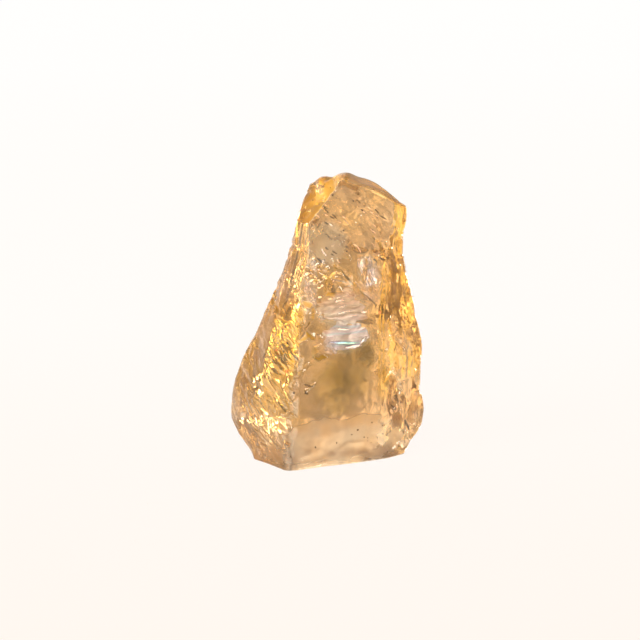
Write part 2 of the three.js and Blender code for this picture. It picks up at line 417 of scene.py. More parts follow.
# How golden each part is: most at the upper left and down both sides, least by the cracks.
golden = 0.44 + 0.16 * waves(at, 0.35, 0.35, 0.35, start=44.0)
golden += 0.18 * step(0.3, 0.6, out[:, 1]) * step(6.5, 4.5, np.abs(x - 1.5)) * step(6.0, 9.0, z)
rising = 0.12 + 0.73 * step(3.0, 9.0, z) + 0.15 * step(10.0, 13.0, z)
golden = np.maximum(golden, 0.95 * left_front * rising)
left_side = step(0.3, 0.7, -out[:, 0]) * step(19.0, 14.0, z) * (1 - left_front * step(0.9, 0.7, -out[:, 0]))
golden *= 1 - 0.65 * left_side
golden -= 0.30 * low_band
upper_left = 0.70 * step(0.25, 0.55, -out[:, 0]) * step(19.0, 27.0, z)
right_side = step(0.45, 0.65, out[:, 0]) * (0.15 + 0.85 * step(7.0, 11.0, z))
side_gold = 0.80 + 0.1 * step(14.0, 18.0, z) + 0.2 * waves(at, 0.3, 0.3, 0.3, start=41.0)
golden = np.maximum(golden, side_gold * np.maximum(upper_left, right_side))
golden = np.maximum(golden, 0.60 * step(0.70, 0.85, out[:, 2]) * step(2.0, 3.0, x))
golden = np.maximum(golden, gold_facet * (1 - 0.4 * step(-2.6, -4.6, x)))

# Paler places on the front, and one more golden: place, half-width, half-height, how much.
PALE_SPOTS = (
    (2.2, 16.0, 3.4, 2.3, 0.42),
    (1.8, 19.3, 3.8, 2.5, 0.32),
    (4.8, 23.8, 1.5, 2.4, 0.32),
    (-2.4, 21.2, 1.6, 2.2, 0.20),
    (-0.5, 27.5, 3.4, 3.2, 0.32),
    (6.8, 9.5, 0.9, 2.4, -0.30),
)
for x0, z0, wide, tall, paler in PALE_SPOTS:
    off = ((x - x0) / wide) ** 2 + ((z - z0) / tall) ** 2
    golden = golden - paler * step(1.0, 0.35, off) * front
skin.attributes.new("golden", "FLOAT", "POINT").data.foreach_set("value", np.clip(golden, 0.0, 1.0))

BERYL_IOR = 1.58
BERYL_COLOUR = (0.86, 0.66, 0.14, 1.0)
BERYL_DEPTH = 40.0      # absorption per metre in the colours that the tint leaves out
GLASSY = 0.03           # roughness where the dullness is 0
FROSTED = 0.15          # roughness where the dullness is 1
GOLD_TINTS = (
    (0.0, (0.99, 0.90, 0.82)),
    (0.35, (0.99, 0.65, 0.39)),
    (0.70, (1.0, 0.60, 0.20)),
    (1.0, (1.0, 0.52, 0.05)),
)


def new_finish(name):
    """A material with its nodes, its links and its main shader."""
    finish = bpy.data.materials.new(name)
    finish.use_nodes = True
    tree = finish.node_tree
    return finish, tree.nodes, tree.links, tree.nodes["Principled BSDF"]


def colour_ramp(nodes, stops):
    """A colour ramp with these stops, each a position and a colour."""
    ramp = nodes.new("ShaderNodeValToRGB")
    elements = ramp.color_ramp.elements
    for element, (position, colour) in zip(elements, (stops[0], stops[-1])):
        element.position = position
        element.color = (*colour, 1)
    for position, colour in stops[1:-1]:
        elements.new(position).color = (*colour, 1)
    return ramp


def skin_value(nodes, name):
    """The socket of a value stored at the points of a mesh."""
    stored = nodes.new("ShaderNodeAttribute")
    stored.attribute_name = name
    return stored.outputs["Fac"]


beryl, nodes, links, glass = new_finish("etched_beryl")
tint = colour_ramp(nodes, GOLD_TINTS)
links.new(skin_value(nodes, "golden"), tint.inputs["Fac"])
links.new(tint.outputs["Color"], glass.inputs["Base Color"])
roughen = nodes.new("ShaderNodeMapRange")
roughen.inputs["To Min"].default_value = GLASSY
roughen.inputs["To Max"].default_value = FROSTED
roughen.clamp = False
links.new(skin_value(nodes, "dullness"), roughen.inputs["Value"])
links.new(roughen.outputs[0], glass.inputs["Roughness"])
glass.inputs["IOR"].default_value = BERYL_IOR
glass.inputs["Transmission Weight"].default_value = 0.90
glass.inputs["Specular Tint"].default_value = (1.0, 0.92, 0.77, 1)
absorb = nodes.new("ShaderNodeVolumeAbsorption")
absorb.inputs["Color"].default_value = BERYL_COLOUR
absorb.inputs["Density"].default_value = BERYL_DEPTH
links.new(absorb.outputs[0], nodes["Material Output"].inputs["Volume"])
skin.materials.clear()
skin.materials.append(beryl)
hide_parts("crystal")
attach(crystal, "root")

# --- Open cracks -------------------------------------------------------------------------
# Thin gas-filled cracks sealed just behind the front: a pearly oval one with rainbow bands,
# a ribbed fan above it, a feather to the upper right, and paler ones and bright streaks by
# them. Each is one or more closed lenses, a few hundredths of a millimetre thick.
CRACK_GAP = 0.03        # mm between the two walls of a crack at its middle
COVER = 0.12            # least mm of beryl aimed for over a crack
SINKINGS = 4            # rounds of sinking a crack to have that cover


def lens(rings, centre, face, lean, wide, tall, bulge, jag, ribs, seed, square=2):
    """Points, faces and rib heights of a closed lens.

    It has this many rings of points round its centre and faces this way, with its width
    leaning down to the right by so many degrees. Wide, tall and bulge are its half-sizes in
    mm, jag is how ragged its rim is, and ribs are their height, spacing and lean. A square
    of 2 makes it oval, and more makes it boxier.
    """
    spokes = 4 * rings
    facing = Vector(face).normalized()
    right = Vector((1, 0, 0))
    right = (right - facing * right.dot(facing)).normalized()
    rise = right.cross(facing)
    turn = math.radians(lean)
    along = right * math.cos(turn) + rise * math.sin(turn)
    upward = rise * math.cos(turn) - right * math.sin(turn)
    rib_depth, rib_width, rib_lean = ribs
    rib_turn = math.radians(rib_lean)
    points = []
    crests = []
    for side in (1, -1):
        for ring in range(rings if side == 1 else rings - 1):
            share = ring / (rings - 1)
            for spoke in range(spokes):
                # The rim is ragged, in slow waves and in quick ones.
                a = 2 * math.pi * spoke / spokes
                edge = 1 + jag * noise.noise((2.2 * math.cos(a), 2.2 * math.sin(a), seed))
                edge += 0.5 * jag * noise.noise((6 * math.cos(a), 6 * math.sin(a), seed + 5))
                edge /= (abs(math.cos(a)) ** square + abs(math.sin(a)) ** square) ** (1 / square)
                u = wide * share * edge * math.cos(a)
                v = tall * share * edge * math.sin(a)
                over_ribs = v * math.cos(rib_turn) - u * math.sin(rib_turn)
                # The sheet is bulged and ribbed, and its two walls meet at the rim.
                wobble = noise.noise((u * 0.9, v * 0.9, seed))
                rib = math.sin(2 * math.pi * over_ribs / rib_width + 2.5 * wobble)
                depth = bulge * (1 - share ** 2) + 0.05 * wobble * min(wide, tall)
                depth += rib_depth * rib + side * CRACK_GAP / 2 * (1 - share ** 4)
                points.append(Vector(centre) + along * u + upward * v + facing * depth)
                crests.append(0.5 + 0.5 * rib)

    faces = []
    back_start = rings * spokes
    for ring in range(rings - 1):
        for spoke in range(spokes):
            a = ring * spokes + spoke
            b = ring * spokes + (spoke + 1) % spokes
            faces.append((a, b, b + spokes, a + spokes))
            last = ring == rings - 2
            e = a + spokes if last else back_start + a + spokes
            f = b + spokes if last else back_start + b + spokes
            faces.append((back_start + b, back_start + a, e, f))
    return points, faces, crests


skin_tree = BVHTree.FromPolygons([Vector(p) for p in at], [tuple(f.vertices) for f in skin.polygons])


def under(point):
    """How far a point lies under the skin, in mm; below 0 outside it."""
    nearest, facing, _, gap = skin_tree.find_nearest(point)
    return gap if (point - nearest).dot(facing) < 0 else -gap


def add_piece(mesh, finish):
    """A mesh as a smooth piece that belongs to the crystal, in its finish."""
    mesh.polygons.foreach_set("use_smooth", [True] * len(mesh.polygons))
    mesh.materials.append(finish)
    piece = bpy.data.objects.new(mesh.name, mesh)
    bpy.context.scene.collection.objects.link(piece)
    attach(piece, "root")


def crack(name, finish, lenses):
    """One mesh of one or more lenses, each sunk until all of it lies under the skin."""
    points, faces, crests = [], [], []
    for shape in lenses:
        more_points, more_faces, more_crests = lens(*shape)
        inward = -Vector(shape[2]).normalized()
        for _ in range(SINKINGS):
            short = max(COVER - under(p) for p in more_points)
            if short > 0:
                more_points = [p + inward * short for p in more_points]
        faces += [tuple(len(points) + i for i in face) for face in more_faces]
        points += more_points
        crests += more_crests
    mesh = bpy.data.meshes.new(name)
    mesh.from_pydata([p * MM for p in points], [], faces)
    mesh.attributes.new("crest", "FLOAT", "POINT").data.foreach_set("value", crests)
    join = bmesh.new()
    join.from_mesh(mesh)
    bmesh.ops.remove_doubles(join, verts=join.verts, dist=1e-8)
    bmesh.ops.dissolve_degenerate(join, edges=join.edges, dist=1e-8)
    bmesh.ops.recalc_face_normals(join, faces=join.faces)
    join.to_mesh(mesh)
    join.free()
    add_piece(mesh, finish)


def value_of(nodes, links, socket, low_in, high_in, low_out, high_out, easing="LINEAR"):
    """A socket that follows another from one range to another."""
    node = nodes.new("ShaderNodeMapRange")
    node.interpolation_type = easing
    node.inputs["From Min"].default_value = low_in
    node.inputs["From Max"].default_value = high_in
    node.inputs["To Min"].default_value = low_out
    node.inputs["To Max"].default_value = high_out
    links.new(socket, node.inputs["Value"])
    return node.outputs[0]


def fine_noise(nodes, links, scale, detail=2.0):
    """The value of a noise that is fixed to the piece, with this many swells per metre."""
    place = nodes.new("ShaderNodeTexCoord")
    texture = nodes.new("ShaderNodeTexNoise")
    texture.inputs["Scale"].default_value = scale
    texture.inputs["Detail"].default_value = detail
    links.new(place.outputs["Object"], texture.inputs["Vector"])
    return texture.outputs["Fac"]


def pearl(name, solid_share, patchy, tints, roughness, rib_contrast=0.3, silver=0.35):
    """A silvery film seen in patches, with soft bands of colour that follow its thickness."""
    finish, nodes, links, film = new_finish(name)
    film.inputs["Metallic"].default_value = silver
    film.inputs["Roughness"].default_value = roughness
    place = nodes.new("ShaderNodeTexCoord")
    bands = nodes.new("ShaderNodeTexWave")
    bands.bands_direction = "Z"
    bands.inputs["Scale"].default_value = 160.0
    bands.inputs["Distortion"].default_value = 3.0
    bands.inputs["Detail"].default_value = 1.0
    bands.inputs["Detail Scale"].default_value = 1.5
    links.new(place.outputs["Object"], bands.inputs["Vector"])
    colours = colour_ramp(nodes, [(k / (len(tints) - 1), tint) for k, tint in enumerate(tints)])
    links.new(bands.outputs["Fac"], colours.inputs["Fac"])
    links.new(colours.outputs["Color"], film.inputs["Base Color"])
    patches = fine_noise(nodes, links, 900.0, 3.0)
    cover = value_of(nodes, links, patches, 0.38, 0.62, solid_share * (1 - patchy), solid_share)
    ribbed = value_of(nodes, links, skin_value(nodes, "crest"), 0.0, 1.0, 1.0 - rib_contrast, 1.0)
    shown = nodes.new("ShaderNodeMath")
    shown.operation = "MULTIPLY"
    links.new(cover, shown.inputs[0])
    links.new(ribbed, shown.inputs[1])
    links.new(shown.outputs[0], film.inputs["Alpha"])
    return finish


ROSE = (1.0, 0.85, 0.81)
CREAM = (1.0, 0.93, 0.84)
TEAL = (0.70, 0.95, 0.92)
VIOLET = (0.92, 0.84, 1.0)
BRIGHT_WAY = (0.17, -0.94, 0.31)    # a film that faces this way glints to the front
RAISED_WAY = (0.14, -0.94, 0.30)
NO_RIBS = (0, 1, 0)
RAINBOW = (ROSE, CREAM, ROSE, VIOLET, TEAL, VIOLET, ROSE)
crack("oval_crack", pearl("rainbow_film", 0.95, 0.1, RAINBOW, 0.25, 0.1), [
    (40, (2.0, -4.2, 16.1), (0.13, -0.95, 0.25), -4, 2.9, 1.7, -0.22, 0.22, (0.008, 1.3, 14), 0.0),
])
crack("fan_crack", pearl("fan_film", 1.0, 0.3, (CREAM, ROSE, CREAM), 0.34, 0.4), [
    (44, (1.5, -4.4, 19.6), (0.08, -0.95, 0.28), 10, 3.1, 1.8, 0.06, 0.3, (0.03, 0.8, -18), 2.0),
])
feather_film = pearl("feather_film", 1.0, 0.3, (ROSE, CREAM, VIOLET, CREAM), 0.26, 0.4, 0.8)
crack("feather_crack", feather_film, [
    (32, (4.7, -2.9, 23.7), BRIGHT_WAY, 66, 1.9, 1.0, -0.05, 0.7, (0.02, 0.5, 10), 9.0),
])
bright_film = pearl("bright_film", 1.0, 0.1, (CREAM, ROSE), 0.20, 0.0, 0.9)
crack("bright_streaks", bright_film, [
    (12, (1.3, -5.0, 20.6), BRIGHT_WAY, -12, 0.65, 0.13, 0.02, 0.4, NO_RIBS, 51.0),
    (12, (1.7, -5.0, 19.9), BRIGHT_WAY, -16, 0.55, 0.11, 0.02, 0.4, NO_RIBS, 52.0),
    (12, (1.9, -4.9, 19.2), BRIGHT_WAY, -14, 0.85, 0.13, 0.02, 0.4, NO_RIBS, 53.0),
    (12, (3.0, -4.6, 18.7), BRIGHT_WAY, -6, 0.70, 0.10, 0.02, 0.4, NO_RIBS, 54.0),
    (10, (0.2, -5.2, 20.9), BRIGHT_WAY, 8, 0.35, 0.13, 0.02, 0.4, NO_RIBS, 55.0),
    (10, (4.3, -3.6, 18.9), BRIGHT_WAY, -5, 0.35, 0.16, 0.02, 0.4, NO_RIBS, 56.0),
    (12, (1.8, -4.9, 17.2), BRIGHT_WAY, 6, 0.95, 0.15, 0.02, 0.4, NO_RIBS, 57.0),
    (12, (3.2, -4.6, 14.9), BRIGHT_WAY, -8, 1.00, 0.20, 0.02, 0.5, NO_RIBS, 58.0),
    (12, (4.3, -4.0, 15.5), BRIGHT_WAY, -48, 0.60, 0.18, 0.02, 0.5, NO_RIBS, 59.0),
])
SPECTRUM = ((0.62, 0.60, 1.0), (0.45, 0.92, 0.95), (0.75, 1.0, 0.72), (1.0, 0.93, 0.80))
crack("rainbow_streak", pearl("spectral_film", 1.0, 0.0, SPECTRUM, 0.22, 0.0, 0.8), [
    (20, (1.8, -4.9, 15.5), BRIGHT_WAY, 3, 1.90, 0.20, 0.03, 0.3, NO_RIBS, 60.0),
])
crack("pale_cracks", pearl("pale_film", 0.75, 0.6, (CREAM, ROSE, CREAM), 0.22), [
    (24, (5.6, -2.4, 23.2), (0.18, -0.94, 0.26), 68, 1.9, 0.8, 0.1, 0.3, (0.012, 0.8, 0), 4.0),
    (24, (-2.2, -5.1, 21.4), (0.05, -0.95, 0.30), 72, 1.6, 0.5, 0.05, 0.4, (0.012, 0.6, 0), 12.0),
    (20, (6.1, -2.4, 25.9), (0.20, -0.92, 0.34), -14, 0.8, 0.2, 0.03, 0.4, (0.01, 0.6, 0), 13.0),
    (16, (1.5, -4.5, 23.0), RAISED_WAY, 12, 0.9, 0.13, 0.04, 0.5, (0.005, 0.6, 0), 14.0),
    (16, (1.2, -4.5, 21.0), RAISED_WAY, -6, 0.5, 0.12, 0.03, 0.5, (0.005, 0.6, 0), 15.0),
])
crack("faint_cracks", pearl("faint_film", 0.35, 0.7, (ROSE, VIOLET), 0.3), [
    (24, (-0.4, -5.0, 15.2), (0.10, -0.94, 0.30), 25, 1.6, 1.1, 0.1, 0.35, (0.015, 0.6, 30), 7.0),
    (24, (2.9, -3.9, 21.5), (0.12, -0.96, 0.22), 10, 1.2, 0.7, -0.1, 0.3, (0.005, 1.0, 0), 16.0),
    (24, (4.6, -3.0, 21.2), (0.12, -0.96, 0.22), 42, 1.8, 0.7, -0.1, 0.3, (0.005, 1.0, 0), 17.0),
])

# --- Brown slivers and shaded cracks -----------------------------------------------------
# Narrow cracks that hold a dark brown film, most of them in the etched left of the front and
# beside the right edge, and a few wider ones with a thinner film. The brown is painted shade:
# dark strokes between the glints and beside the chips, and dark arcs by the large cracks.
LEFT_WAY = (-0.55, -0.80, 0.20)
UPPER_LEFT_WAY = (-0.60, -0.78, 0.15)
FAR_LEFT_WAY = (-0.84, -0.54, 0.0)
RIGHT_WAY = (0.40, -0.90, 0.20)
MIDDLE_WAY = (0.14, -0.95, 0.25)
FINE_RIBS = (0.01, 0.6, 0)
# The brown of this film is painted shade.
painted_shade_film = pearl("painted_shade_film", 0.9, 0.2, ((0.07, 0.04, 0.02), (0.20, 0.12, 0.06)), 0.4)
shade_film = pearl("shade_film", 0.6, 0.4, ((0.12, 0.07, 0.03), (0.30, 0.19, 0.10)), 0.4)
crack("dark_slivers", painted_shade_film, [
    (14, (-5.1, -6.2, 15.2), LEFT_WAY, 30, 0.80, 0.34, 0.02, 0.6, FINE_RIBS, 25.0),
    (14, (-5.5, -6.0, 14.4), LEFT_WAY, 42, 1.05, 0.38, 0.02, 0.6, FINE_RIBS, 26.0),
    (14, (-5.7, -5.8, 13.6), LEFT_WAY, 34, 1.10, 0.36, 0.02, 0.6, FINE_RIBS, 27.0),
    (14, (-6.1, -5.5, 12.8), LEFT_WAY, 40, 1.00, 0.34, 0.02, 0.6, FINE_RIBS, 35.0),
    (14, (-6.3, -5.3, 12.0), LEFT_WAY, 25, 0.85, 0.26, 0.02, 0.6, FINE_RIBS, 36.0),
    (14, (-5.4, -6.4, 7.9), LEFT_WAY, 55, 1.0, 0.18, 0.02, 0.6, FINE_RIBS, 49.0),
    (14, (-4.1, -6.9, 14.3), LEFT_WAY, 45, 0.8, 0.18, 0.02, 0.6, FINE_RIBS, 50.0),
    (14, (-3.2, -7.4, 9.9), LEFT_WAY, 30, 0.5, 0.16, 0.02, 0.6, FINE_RIBS, 67.0),
    (14, (-7.6, -5.0, 11.2), LEFT_WAY, 60, 0.7, 0.16, 0.02, 0.6, FINE_RIBS, 68.0),
    (14, (-3.3, -4.2, 28.4), UPPER_LEFT_WAY, -76, 1.6, 0.17, 0.02, 0.5, FINE_RIBS, 40.0),
    (14, (-3.9, -4.4, 25.8), UPPER_LEFT_WAY, -74, 1.2, 0.20, 0.02, 0.5, FINE_RIBS, 41.0),
    (14, (-4.6, -4.5, 23.2), UPPER_LEFT_WAY, -70, 1.4, 0.20, 0.02, 0.5, FINE_RIBS, 42.0),
    (14, (-5.4, -4.7, 20.8), UPPER_LEFT_WAY, -68, 1.3, 0.22, 0.02, 0.5, FINE_RIBS, 43.0),
    (14, (-5.2, -5.2, 19.2), UPPER_LEFT_WAY, -60, 0.9, 0.22, 0.02, 0.5, FINE_RIBS, 44.0),
    (14, (-8.4, -4.2, 13.6), FAR_LEFT_WAY, -66, 0.7, 0.16, 0.02, 0.5, FINE_RIBS, 45.0),
    (14, (-9.8, -3.2, 10.2), FAR_LEFT_WAY, -72, 0.7, 0.16, 0.02, 0.5, FINE_RIBS, 46.0),
    (14, (-9.0, -4.2, 8.9), FAR_LEFT_WAY, -76, 0.6, 0.16, 0.02, 0.5, FINE_RIBS, 47.0),
    (14, (-10.6, -2.2, 6.9), FAR_LEFT_WAY, -80, 0.5, 0.16, 0.02, 0.5, FINE_RIBS, 48.0),
    (12, (-2.4, -6.6, 10.6), (0.0, -0.95, 0.25), 16, 0.6, 0.12, 0.02, 0.5, FINE_RIBS, 28.0),
    (12, (6.6, -2.6, 19.0), (0.3, -0.93, 0.2), 60, 0.7, 0.16, 0.02, 0.5, FINE_RIBS, 29.0),
    (12, (8.6, -1.6, 7.4), RIGHT_WAY, 75, 0.6, 0.20, 0.02, 0.6, FINE_RIBS, 30.0),
    (12, (8.1, -1.9, 6.4), RIGHT_WAY, 40, 0.6, 0.16, 0.02, 0.6, FINE_RIBS, 31.0),
    (12, (9.9, -0.8, 3.8), RIGHT_WAY, 55, 0.8, 0.18, 0.02, 0.6, FINE_RIBS, 32.0),
    (12, (9.3, -0.9, 3.0), RIGHT_WAY, 70, 0.4, 0.10, 0.02, 0.6, FINE_RIBS, 33.0),
    (12, (8.3, -1.3, 13.9), RIGHT_WAY, -65, 0.6, 0.12, 0.02, 0.6, FINE_RIBS, 34.0),
])
# Painted shade: dark films in the middle, in place of the dark arcs beside the large cracks.
crack("shaded_cracks", shade_film, [
    (20, (3.9, -3.6, 18.0), (0.14, -0.95, 0.30), 16, 1.6, 0.40, 0.05, 0.4, FINE_RIBS, 18.0),
    (16, (0.6, -4.7, 21.9), MIDDLE_WAY, 82, 0.8, 0.25, 0.05, 0.4, FINE_RIBS, 22.0),
    (16, (2.2, -4.4, 23.5), MIDDLE_WAY, 48, 1.2, 0.18, 0.05, 0.4, FINE_RIBS, 23.0),
    (12, (-0.9, -5.2, 25.4), MIDDLE_WAY, 50, 0.3, 0.12, 0.02, 0.5, FINE_RIBS, 24.0),
    (16, (5.0, -3.2, 20.4), MIDDLE_WAY, 40, 1.0, 0.14, 0.02, 0.4, FINE_RIBS, 37.0),
])

# --- Discs, glints and dashes ------------------------------------------------------------
# Small flat bubbles and healed cracks a little under the skin: round discs left of the
# large hollow, yellow glints on the left of the front, and dashes over the upper front,
# bright ones and brown ones whose brown is painted shade.
DISCS = 34
GLINTS = 64
LOW_GLINTS = 46         # of the glints, those beside the foot
BRIGHT_DASHES = 22
BROWN_DASHES = 16


def behind_front(spot_x, spot_z, depth):
    """A point so many mm under the front of the skin, behind a place on it."""
    not_front = 100 * (out[:, 1] > -0.3)
    nearest = np.argmin(np.hypot(x - spot_x, z - spot_z) + not_front)
    return Vector(at[nearest]) - Vector(out[nearest]) * depth


discs = []
for number in range(DISCS):
    a = dice.uniform(0, 2 * math.pi)
    reach = math.sqrt(dice.uniform(0, 1))
    centre = behind_front(-1.0 + 1.9 * reach * math.cos(a), 23.6 + 2.6 * reach * math.sin(a), 0.25)
    size = dice.uniform(0.12, 0.26)
    face = (0.16 + dice.uniform(-0.08, 0.08), -0.94, 0.31 + dice.uniform(-0.06, 0.06))
    discs.append((5, centre, face, dice.uniform(-60, 0), size * 1.5, size, 0.01, 0.2, NO_RIBS, number))
crack("bright_discs", pearl("disc_film", 1.0, 0.0, (CREAM, ROSE), 0.18, 0.0, 0.8), discs)

glints = []
for number in range(GLINTS):
    if number < LOW_GLINTS:
        spot_x = dice.uniform(-10.6, -4.9)
        spot_z = dice.uniform(1.8, 9.2)
    else:
        spot_x = dice.uniform(-6.8, -3.4)
        spot_z = dice.uniform(10.0, 18.5)
    centre = behind_front(spot_x, spot_z, 0.2)
    face = (-0.51 + dice.uniform(-0.06, 0.06), -0.81, 0.29 + dice.uniform(-0.05, 0.05))
    wide = dice.uniform(0.12, 0.36)
    lean = dice.uniform(30, 80)
    tall = dice.uniform(0.06, 0.12)
    glints.append((6, centre, face, lean, wide, tall, 0.01, 0.4, NO_RIBS, 130 + number))
GOLD_LIGHT = ((1.0, 0.84, 0.42), (1.0, 0.95, 0.70))
crack("yellow_glints", pearl("glint_film", 1.0, 0.0, GOLD_LIGHT, 0.12, 0.0, 1.0), glints)


def dashes(name, finish, count, first_seed):
    """Narrow cracks over the upper front, leaning down to the right."""
    slits = []
    for number in range(count):
        spot_x = dice.uniform(-1.6, 7.0)
        spot_z = dice.uniform(25.0, 32.6)
        centre = behind_front(spot_x, spot_z, 0.3)
        face = (0.17 + dice.uniform(-0.08, 0.08), -0.94, 0.31 + dice.uniform(-0.06, 0.06))
        wide = dice.uniform(0.2, 0.5)
        lean = dice.uniform(24, 48)
        slits.append((8, centre, face, lean, wide, 0.08, 0.01, 0.4, NO_RIBS, first_seed + number))
    crack(name, finish, slits)


dashes("bright_dashes", bright_film, BRIGHT_DASHES, 70)
# The brown dashes are painted shade beside the etch pits of the upper front.
dashes("brown_dashes", painted_shade_film, BROWN_DASHES, 100)

# --- Milky veils -------------------------------------------------------------------------
# Sheets of very fine bubbles close behind the front: four across the foot, with a ragged
# upper rim, and one below the golden facet. They let light through and blur it.
veil_film, nodes, links, milk = new_finish("veil_film")
milk.inputs["Base Color"].default_value = (1.0, 0.98, 0.94, 1)
milk.inputs["IOR"].default_value = 1.25
milk.inputs["Transmission Weight"].default_value = 0.97
blur = value_of(nodes, links, fine_noise(nodes, links, 500.0), 0.35, 0.65, 0.32, 0.50)
links.new(blur, milk.inputs["Roughness"])
FOOT_WAY = (0.42, -0.90, -0.06)
crack("milky_veils", veil_film, [
    (48, (1.4, -5.8, 3.15), FOOT_WAY, 2, 6.1, 2.7, 0.0, 0.22, NO_RIBS, 61.0, 5),
    (24, (-6.6, -6.0, 1.6), (-0.60, -0.80, 0.0), 6, 2.2, 1.1, 0.0, 0.50, NO_RIBS, 65.0),
    (20, (6.3, -3.6, 0.9), FOOT_WAY, -6, 1.7, 0.6, 0.0, 0.40, NO_RIBS, 66.0),
    (24, (8.9, -2.0, 2.1), (0.75, -0.66, 0.0), 30, 1.3, 1.6, 0.0, 0.60, NO_RIBS, 62.0),
    (30, (0.5, -5.9, 26.9), (0.38, -0.92, 0.10), 34, 2.3, 1.5, 0.0, 0.50, NO_RIBS, 64.0),
])

# --- Smoky cloud -------------------------------------------------------------------------
# A brownish cloud in the lower middle of the crystal, which darkens what is seen through
# it. It is many soft lumps that grow denser where they overlap. Each has a centre,
# half-sizes and a seed.
CLOUD_COLOUR = (0.52, 0.50, 0.10, 1.0)
CLOUD_DEPTH = 128.0     # absorption per metre in the colours that the cloud takes out
CLOUD_LUMPS = (
    ((3.4, -1.6, 13.2), (2.3, 2.2, 1.9), 0),
    ((1.7, -1.6, 11.5), (3.4, 2.8, 2.5), 1),
    ((-0.4, -2.2, 10.2), (2.8, 2.6, 2.3), 2),
    ((1.9, -1.4, 9.6), (2.7, 2.6, 2.3), 3),
    ((0.2, -1.8, 8.0), (3.1, 2.4, 1.6), 4),
    ((3.7, -1.4, 11.9), (1.3, 1.8, 2.5), 5),
    ((4.2, -2.4, 14.2), (1.4, 1.2, 1.1), 6),
    ((4.5, -2.4, 13.2), (0.9, 1.1, 1.9), 7),
    ((-0.9, -3.4, 10.9), (0.9, 1.0, 0.6), 8),
    ((0.9, -3.0, 8.9), (1.7, 1.0, 0.6), 9),
    ((1.6, -3.0, 12.6), (1.6, 1.0, 0.7), 10),
    ((4.3, -2.5, 14.2), (1.5, 1.0, 0.8), 11),
    ((3.3, -2.9, 13.4), (1.7, 1.1, 0.8), 14),
    ((4.5, -2.2, 14.3), (1.1, 1.1, 0.9), 15),
    ((4.8, -2.6, 13.5), (0.8, 0.9, 1.3), 16),
    ((3.8, -2.9, 14.3), (1.4, 0.7, 0.7), 17),
    ((-1.1, -3.9, 10.3), (1.1, 0.8, 0.7), 12),
    ((-0.6, -3.4, 8.2), (1.6, 0.9, 0.8), 13),
    ((-0.6, -2.6, 6.3), (2.4, 1.8, 0.8), 18),
    ((1.3, -2.2, 6.7), (2.0, 1.6, 0.8), 19),
)
smoke, nodes, links, haze = new_finish("smoke")
haze.inputs["Base Color"].default_value = (1, 1, 1, 1)
haze.inputs["Roughness"].default_value = 0.0
haze.inputs["IOR"].default_value = 1.0
haze.inputs["Transmission Weight"].default_value = 1.0
cloud_absorber = nodes.new("ShaderNodeVolumeAbsorption")
cloud_absorber.inputs["Color"].default_value = CLOUD_COLOUR
cloud_absorber.inputs["Density"].default_value = CLOUD_DEPTH
links.new(cloud_absorber.outputs[0], nodes["Material Output"].inputs["Volume"])
for number, (centre, halves, seed) in enumerate(CLOUD_LUMPS, start=1):
    lump = bmesh.new()
    bmesh.ops.create_icosphere(lump, subdivisions=4, radius=1.0)
    for corner in lump.verts:
        way = corner.co.copy()
        reach = 1 + 0.30 * noise.noise(way * 1.3 + Vector((seed, 0, 0)))
        reach += 0.14 * noise.noise(way * 3.1 + Vector((0, seed, 0)))
        swollen = Vector([along * half for along, half in zip(way, halves)])
        corner.co = (Vector(centre) + swollen * reach) * MM
    mesh = bpy.data.meshes.new(f"smoky_cloud_{number}")
    lump.to_mesh(mesh)
    lump.free()
    add_piece(mesh, smoke)

# --- Specks ------------------------------------------------------------------------------
# Grains of brown clay stuck in small pits of the skin: most of them down the right
# side, along the lower front and on the upper left facet. A few on the left are rusty.
CLAY_SIZE = (0.04, 0.10)    # mm, least and greatest half-size of a grain
RUST_SIZE = (0.10, 0.20)
CLAY_COLOURS = ((0.05, 0.02, 0.008), (0.20, 0.10, 0.04))
RUST_COLOURS = ((0.85, 0.20, 0.05), (1.0, 0.40, 0.12))
RUSTY_SPOTS = ((-6.2, 14.4), (-6.0, 14.1), (-4.9, 12.4), (6.3, 18.6))

# How many grains each zone has, and its reach from left to right and from low to high.
SPECK_ZONES = (
    (34, 7.2, 11.0, 6.0, 30.0),
    (14, 5.8, 8.0, 14.0, 31.0),
    (16, -3.6, 1.2, 29.0, 34.5),
    (16, -2.0, 8.0, 0.8, 6.5),
    (12, 0.0, 8.0, 26.0, 34.0),
    (8, -8.0, -4.0, 6.0, 20.0),
)


def specks(name, spots, sizes, finish):
    """One mesh of small lumps at places on the front of the skin."""
    grains = bmesh.new()
    facing_front = np.flatnonzero(out[:, 1] < -0.05)
    for spot_x, spot_z in spots:
        off = np.hypot(x[facing_front] - spot_x, z[facing_front] - spot_z)
        nearest = facing_front[np.argmin(off)]
        size = dice.uniform(*sizes)
        stretch = Vector(dice.uniform(0.6, 1.5, 3))
        centre = Vector(at[nearest]) - Vector(out[nearest]) * 0.4 * size
        for corner in bmesh.ops.create_icosphere(grains, subdivisions=2, radius=1.0)["verts"]:
            reach = size * (1 + 0.45 * noise.noise(corner.co * 1.7 + centre))
            corner.co = (centre + corner.co * stretch * reach) * MM
    mesh = bpy.data.meshes.new(name)
    grains.to_mesh(mesh)
    grains.free()
    add_piece(mesh, finish)


def clay(name, colours):
    """An earthy finish that varies from grain to grain."""
    finish, nodes, links, earth = new_finish(name)
    earth.inputs["Roughness"].default_value = 0.7
    dark, light = colours
    mottle = colour_ramp(nodes, ((0.35, dark), (0.65, light)))
    links.new(fine_noise(nodes, links, 1500.0), mottle.inputs["Fac"])
    links.new(mottle.outputs["Color"], earth.inputs["Base Color"])
    return finish


scattered = [
    (dice.uniform(x0, x1), dice.uniform(z0, z1))
    for count, x0, x1, z0, z1 in SPECK_ZONES
    for _ in range(count)
]
specks("clay_specks", scattered, CLAY_SIZE, clay("brown_clay", CLAY_COLOURS))
specks("rust_specks", RUSTY_SPOTS, RUST_SIZE, clay("rust", RUST_COLOURS))

